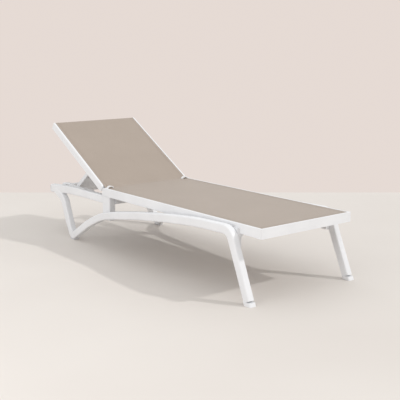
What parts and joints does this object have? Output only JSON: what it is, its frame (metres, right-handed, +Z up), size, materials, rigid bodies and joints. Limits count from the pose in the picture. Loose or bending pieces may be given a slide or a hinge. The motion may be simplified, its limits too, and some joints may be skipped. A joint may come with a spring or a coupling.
{
  "type": "sun lounger",
  "caption": "Reclining sun lounger: white moulded side frames and deck rails, a taupe mesh sling and a hinged backrest held by a prop in notched racks.",
  "frame": {"origin": "on the floor, under the middle of the overall box", "axes": "+X towards the foot end, +Y across the lounger, +Z up; the backrest hinge runs along Y"},
  "size_m": [1.95, 0.7054, 0.6841],
  "materials": {
    "resin": "satin moulded resin, fine grain",
    "sling": "coated open-weave mesh",
    "spline": "extruded",
    "steel": "brushed",
    "feet": "matt"
  },
  "bodies": {
    "base": {"side_frame_left": "resin", "side_frame_right": "resin", "front_shoe_left": "resin", "front_shoe_right": "resin", "rear_pad_left": "feet", "rear_pad_right": "feet", "seat_rail_left": "resin", "seat_rail_right": "resin", "front_rail": "resin", "hinge_beam": "resin", "head_beam": "resin", "seat_sling": "sling", "seat_spline_left": "spline", "seat_spline_right": "spline", "seat_spline_front": "spline", "seat_spline_rear": "spline", "shoulder_bracket_left": "resin", "shoulder_bracket_right": "resin", "rack_left": "resin", "rack_right": "resin", "hinge_pin_left": "steel", "hinge_pin_right": "steel", "corner_clip_left": "resin", "corner_clip_right": "resin", "deck_screws": "steel", "bracket_bolts": "steel", "rack_screws": "steel"},
    "backrest": {"back_rail_left": "resin", "back_rail_right": "resin", "back_top_rail": "resin", "back_bottom_rail": "resin", "back_sling": "sling", "back_spline_left": "spline", "back_spline_right": "spline", "back_spline_top": "spline", "back_spline_bottom": "spline", "hinge_lug_left": "resin", "hinge_lug_right": "resin", "prop_pin_left": "steel", "prop_pin_right": "steel", "lug_screws": "steel"},
    "prop": {"prop_strut_left": "resin", "prop_strut_right": "resin", "prop_panel": "resin", "catch_bar": "resin"}
  },
  "joints": [
    {"name": "recline", "type": "hinge", "parent": "base", "child": "backrest", "pos_m": [-0.342, 0, 0.334], "axis": [0, 1, 0], "range_deg": [-30, 30]},
    {"name": "prop_fold", "type": "hinge", "parent": "backrest", "child": "prop", "pos_m": [-0.54552, 0, 0.4515], "axis": [0, 1, 0], "range_deg": [-60, 60]}
  ],
  "couplings": [
    {"joint": "prop_fold", "follows": "recline", "ratio": -2}
  ]
}
